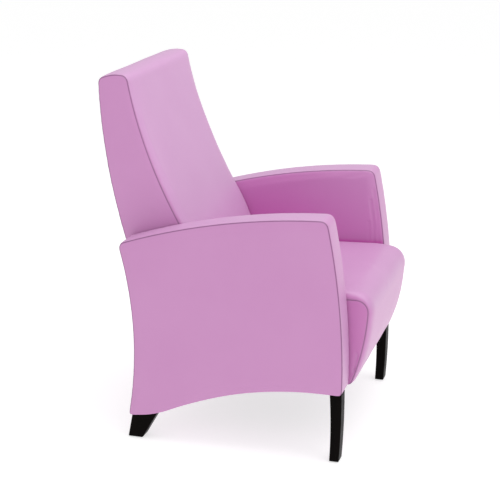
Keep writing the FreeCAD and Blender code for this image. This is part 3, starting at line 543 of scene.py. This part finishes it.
woodTones = {      # light, dark and the scale of the rings
    "beech": ((0.62, 0.43, 0.27, 1), (0.48, 0.3, 0.17, 1), 60.0),
    "plywood": ((0.68, 0.52, 0.34, 1), (0.55, 0.38, 0.22, 1), 35.0),
}
woodGloss, poreDepth = (0.55, 0.75), 0.0001
bareWood = {}
for name, (light, dark, ringScale) in woodTones.items():
    bareWood[name], tree, shader = newMaterial(name, Specular_IOR_Level=0.3)
    wood = placeGroup(tree, figure, Ring_scale=ringScale)
    tree.links.new(mixColours(tree, wood.outputs["Rings"], light, dark), shader.inputs["Base Color"])
    tree.links.new(stretch(tree, wood.outputs["Pores"], *woodGloss), shader.inputs["Roughness"])
    bumpUp(tree, shader, wood.outputs["Pores"], poreDepth)

metalTones = {
    "springSteel": ((0.16, 0.15, 0.14, 1), (0.09, 0.085, 0.08, 1)),
    "zincSteel": ((0.62, 0.62, 0.6, 1), (0.5, 0.5, 0.47, 1)),
}
metalGloss = (0.28, 0.45)
metals = {}
for name, (light, dark) in metalTones.items():
    metals[name], tree, shader = newMaterial(name, Metallic=1.0)
    patches = placeGroup(tree, unevenness, Cloud_scale=90.0, Speck_scale=700.0)
    tree.links.new(mixColours(tree, patches.outputs["Clouds"], light, dark), shader.inputs["Base Color"])
    tree.links.new(stretch(tree, patches.outputs["Specks"], *metalGloss), shader.inputs["Roughness"])

weaves = {      # yarn colours and threads per metre
    "webbing": ((0.36, 0.33, 0.28, 1), (0.16, 0.14, 0.12, 1), 420.0),
    "dustCloth": ((0.032, 0.032, 0.034, 1), (0.014, 0.014, 0.015, 1), 700.0),
}
waveTurn = 6.28      # threads a metre to one step of the wave texture's scale
yarnDepth = 0.0002
cloths = {}
for name, (light, dark, threads) in weaves.items():
    cloths[name], tree, shader = newMaterial(name, Specular_IOR_Level=0.2, Roughness=0.85)
    where = addNode(tree, "ShaderNodeTexCoord")
    yarns = {"Scale": threads / waveTurn, "Distortion": 0.4}
    warp = addNode(tree, "ShaderNodeTexWave", yarns, bands_direction="X")
    weft = addNode(tree, "ShaderNodeTexWave", yarns, bands_direction="Y")
    cross = addNode(tree, "ShaderNodeMath", operation="MAXIMUM")
    for yarn, slot in ((warp, 0), (weft, 1)):
        tree.links.new(where.outputs["Object"], yarn.inputs["Vector"])
        tree.links.new(yarn.outputs["Fac"], cross.inputs[slot])
    tree.links.new(mixColours(tree, cross.outputs["Value"], dark, light), shader.inputs["Base Color"])
    bumpUp(tree, shader, cross.outputs["Value"], yarnDepth)
print("materials made")

# arms: one outline, a band over its edge and a panel on each side

seatTop = [(-391, 459), (213.8, 440)]      # front and rear of the seat's top edge
armShadeTones = {"inner": 0.02, "back": 0.18, "low": 0.2, "backAndLow": 0.16, "seatLineShade": 0.45, "front": 0.24}


def armShade(spots):      # painted shade: the inner panel, most of all towards the back and the seat, a painted contact shadow along the seat's top line, and the band's front
    x, y, z = spots.T
    inner = ease(np.abs(x), 267, 262)
    back, low = ease(y, -330, 80), ease(z, 700, 470)
    seatLineShade = ease(z - np.interp(y, *zip(*seatTop)), 30, 19)
    front = (1 - inner) * ease(np.abs(x), 348, 345) * ease(y, -270, -295) * ease(z, 430, 520)
    tone = armShadeTones["inner"] + armShadeTones["back"] * back + armShadeTones["low"] * low
    tone += armShadeTones["backAndLow"] * back * low + armShadeTones["seatLineShade"] * seatLineShade
    return inner * tone + armShadeTones["front"] * front


arm = {
    "corners": [(-339.5, 206, 7, -14.8, 0), (-290, 701, 16, 0, 24.7), (310, 589, 14, -30, 0),
                (291, 73, 7, 0, 0), (205, 84.5, 40, 0, 31), (-279, 206, 2, 0, 0)],
    "sides": [(0, 62), (1, 78), (2, 62), (3, 78)],
    "sewn": [0, 1, 2],
    "inset": -0.3,
    "crown": [[(0, 0.6), (0.1, 2.2), (1, 2.2)], [(0, 2.2), (1, 2.2)], [(0, 2.2), (0.9, 1.4), (1, 0.6)],
              [(0, 0.4), (1, 0.4)]],
    "steps": [0, 1.6, 4.5, 9, 15, 22],
    "turned": [1.6, 5],
    "middle": 5,
    "rollWidth": [[(0, 15)]] * 4,
    "dome": 0.15,
    "sideRoll": 26,
    "pressure": 0.4,
    "cap": 1.0,
    "seamDepth": 1.2,
    "pucker": 0.5,
    "foam": 0.7,
    "fill": 0.9,
    "tucked": lambda spots: spots[:, 2] < 0,
    "paintedShadeTone": armShade,
}
frontCreases = [      # where the inner panel is pulled to its front seam: y and z, width, depth
    ([(-314, 470), (-306, 560), (-292, 645)], 4, 2.2),
    ([(-300, 465), (-294, 540), (-284, 610)], 5, 1.8),
    ([(-284, 480), (-280, 540)], 5, 1.2),
]


def creasesAt(x):
    return [([(x, y, z) for y, z in line], width, depth) for line, width, depth in frontCreases]


leftShape = dict(arm, across=(265, 347), sideSwell=(5.2, 2.4), creases=creasesAt(259.5))
rightShape = dict(arm, across=(-347, -265), sideSwell=(2.4, 5.2), creases=creasesAt(-259.5))
leftArm = upholster("leftArm", leftShape, vinyl)
rightArm = upholster("rightArm", rightShape, vinyl)

seatShadeTones = {"all": 0.08, "back": 0.2, "sides": 0.2}


def seatShade(spots):      # painted shade towards the back, and on the side panels
    x, y, _ = spots.T
    back, sides = ease(y, -150, 100), ease(np.abs(x), 256, 257.5)
    return seatShadeTones["all"] + seatShadeTones["back"] * back + seatShadeTones["sides"] * sides


seat = {
    "corners": [(213.8, 204.7, 2, 0, 0), (*seatTop[1], 8, 0, 0), (*seatTop[0], 36, -12, 0),
                (-344, 204.7, 9, 0, 0)],
    "sides": [(0, 32), (1, 76), (2, 32), (3, 76)],
    "sewn": [1, 2],
    "inset": 0.0,
    "across": (-256.4, 256.4),
    "crown": [[(0, 0.1), (0.9, 0.1), (1, 22)], [(0, 22), (0.9, 22), (0.96, 20), (1, 15)],
              [(0, 15), (0.15, 11.5), (0.6, 12), (1, 7)], [(0, 2), (0.1, 0.3), (1, 0.3)]],
    "steps": [0, 1.6, 4.5, 8.5, 14, 21, 29, 39],
    "turned": [1.6, 5],
    "middle": 39,
    "rollWidth": [[(0, 16)], [(0, 16), (0.9, 16), (0.98, 32)], [(0, 32)], [(0, 32)]],
    "dome": 0.02,
    "sideSwell": (1.2, 1.2),
    "sideRoll": 20,
    "pressure": 0.4,
    "cap": 1.6,
    "seamDepth": 1.2,
    "pucker": 0.8,
    "foam": 1.2,
    "fill": 0.85,
    "creases": [([(side * 257.5, -362, 300), (side * 257.5, -352, 245)], 4, 1.8) for side in (-1, 1)],
    "tucked": lambda spots: (spots[:, 2] < 207) | (spots[:, 1] > 200),
    "paintedShadeTone": seatShade,
}
seatCushion = upholster("seatCushion", seat, vinyl)

back = {
    "corners": [(214.3, 204, 3, 0, 0), (278, 204, 6, -15.8, 0), (324, 585, 1, 15, 0), (393.1, 1036, 10, 0, 8),
                (308, 1047, 13, 21, 0), (150, 618, 1, -5.2, 0), (80, 456.7, 7, 0, 0), (214, 453, 2, 0, 0)],
    "sides": [(1, 104), (3, 20), (4, 104), (6, 20)],
    "kept": [7, 0],
    "sewn": [0, 1, 2],
    "inset": 0.0,
    "across": (-256.4, 256.4),
    "crown": [[(0, 1), (0.3, 3), (1, 3)], [(0, 3), (1, 3)],
              [(0, 3), (0.1, 6), (0.25, 10), (0.4, 13), (0.55, 15.5), (0.75, 15), (1, 9)], [(0, 0), (1, 0)]],
    "steps": [0, 1.6, 4.5, 8.5, 14, 21, 29, 39],
    "turned": [1.6, 5],
    "middle": 39,
    "rollWidth": [[(0, 24)]] * 4,
    "dome": 0.1,
    "sideSwell": (1.2, 1.2),
    "sideRoll": 20,
    "pressure": 0.4,
    "cap": 1.6,
    "seamDepth": 1.2,
    "pucker": 0.8,
    "foam": 1.2,
    "fill": 0.85,
    "tucked": lambda spots: spots[:, 2] < 470,
    # painted shade on the lower front of the back, just above the seat
    "paintedShadeTone": lambda spots: 0.35 * ease(spots[:, 2], 590, 460) * ease(spots[:, 1], 260, 200),
}
backCushion = upholster("backCushion", back, vinyl)

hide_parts("left_arm_cover", "left_arm_inner_foam", "left_arm_outer_foam", "left_arm_edge_foam")
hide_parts("right_arm_cover", "right_arm_inner_foam", "right_arm_outer_foam",
            "right_arm_edge_foam")
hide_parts("seat_cover", "seat_comfort_foam", "seat_base_foam", "seat_front_foam", "seat_felt")
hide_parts("back_cover", "back_foam", "back_rear_pad")

# dust cloth under the seat, stretched over the rails with its edges turned in
low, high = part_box("seat_dust_cover")
dust = {
    "cuts": (48, 52),
    "drop": 0.0004,
    "sag": 0.006,
    "sagStart": 0.25,      # share of the width
    "sagCurve": 1.5,
    "ripple": 0.002,
    "rippleScale": 14,
    "hem": 0.0006,
    "hemWidth": 0.03,      # share of the width
    "thickness": 0.0008,
}
deselectAll()
bpy.ops.mesh.primitive_grid_add(x_subdivisions=dust["cuts"][0], y_subdivisions=dust["cuts"][1], size=1)
dustCloth = bpy.context.object
dustCloth.name = dustCloth.data.name = "dustCloth"
flat = readSpots(dustCloth)
spots = np.column_stack([low.x + (flat[:, 0] + 0.5) * (high.x - low.x),
                         low.y + (flat[:, 1] + 0.5) * (high.y - low.y),
                         np.full(len(flat), high.z)])
edge = np.minimum(0.5 - np.abs(flat[:, 0]), 0.5 - np.abs(flat[:, 1]))
ripple = dust["ripple"] * np.array([noise.noise(Vector(spot) * dust["rippleScale"]) for spot in spots])
inside = np.clip(edge / dust["sagStart"], 0, 1) ** dust["sagCurve"]
spots[:, 2] -= dust["drop"] + (dust["sag"] + ripple) * inside
spots[:, 2] -= dust["hem"] * (edge < dust["hemWidth"])
writeSpots(dustCloth, spots)
thick = dustCloth.modifiers.new("thick", "SOLIDIFY")
thick.thickness = dust["thickness"]
thick.offset = 0
applyModifier(dustCloth, thick)
bpy.ops.object.shade_smooth_by_angle(angle=math.radians(40))
dustCloth.data.materials.clear()
dustCloth.data.materials.append(cloths["dustCloth"])
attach(dustCloth, "chair")
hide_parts("seat_dust_cover")

# the frame's own nodes get their finishes by name
finishes = [
    ("_leg", lacquer), ("_glide", nylon),
    ("_panel", bareWood["plywood"]), ("rear_board", bareWood["plywood"]),
    ("_post", bareWood["beech"]), ("_rail", bareWood["beech"]), ("_stile", bareWood["beech"]),
    ("corner_blocks", bareWood["beech"]), ("springs", metals["springSteel"]), ("clips", metals["zincSteel"]),
    ("bolts", metals["zincSteel"]), ("studs", metals["zincSteel"]), ("inserts", metals["zincSteel"]),
    ("webbing", cloths["webbing"]),
]
for name, node in cadNodes.items():
    for ending, finish in finishes:
        if name.endswith(ending):
            node.data.materials.clear()
            node.data.materials.append(finish)
print("frame finished")

# the room: pale floor, soft lights and the camera

view = {
    "spot": (-3.7618, -1.0983, 1.677),
    "tilt": 90 - 16.7346,
    "turn": -73.3437,
    "lens": 98.36,
    "sensor": 36,
}
camera = bpy.data.objects.new("camera", bpy.data.cameras.new("camera"))
scene.collection.objects.link(camera)
camera.location = view["spot"]
camera.rotation_euler = Euler((math.radians(view["tilt"]), 0, math.radians(view["turn"])))
camera.data.lens = view["lens"]
camera.data.sensor_width = view["sensor"]
scene.camera = camera

floorPaint, _, _ = newMaterial("floorPaint", Roughness=0.9, Base_Color=(0.52, 0.52, 0.52, 1),
                               Emission_Color=(1, 1, 1, 1), Emission_Strength=0.66)
deselectAll()
bpy.ops.mesh.primitive_circle_add(vertices=96, radius=20, fill_type="NGON")
floor = bpy.context.object
floor.name = "floor"
floor.data.materials.append(floorPaint)

lamps = {
    "front": {"spot": (-0.6, -2.4, 3.4), "size": 2.2, "power": 16},
    "over": {"spot": (-0.2, -0.6, 3.6), "size": 2.6, "power": 58},
    "side": {"spot": (-3.2, -0.7, 2.8), "size": 2.0, "power": 13},
}
lampAim = Vector((0, 0, 0.5))
for name, lamp in lamps.items():
    light = bpy.data.objects.new(name, bpy.data.lights.new(name, "AREA"))
    scene.collection.objects.link(light)
    light.location = lamp["spot"]
    light.rotation_euler = (lampAim - light.location).to_track_quat("-Z", "Y").to_euler()
    light.data.size = lamp["size"]
    light.data.energy = lamp["power"]

world = bpy.data.worlds.new("studio")
world.use_nodes = True
tree = world.node_tree
sky = tree.nodes["Background"]
sky.inputs["Color"].default_value = (1, 1, 1, 1)
sky.inputs["Strength"].default_value = 0.6
backdrop = addNode(tree, "ShaderNodeBackground", {"Color": (1, 1, 1, 1), "Strength": 1.0})
seen = addNode(tree, "ShaderNodeLightPath")
either = addNode(tree, "ShaderNodeMixShader")
tree.links.new(seen.outputs["Is Camera Ray"], either.inputs["Fac"])
tree.links.new(sky.outputs["Background"], either.inputs[1])
tree.links.new(backdrop.outputs["Background"], either.inputs[2])
tree.links.new(either.outputs["Shader"], tree.nodes["World Output"].inputs["Surface"])
scene.world = world
scene.view_settings.view_transform = "Standard"
print("room made")
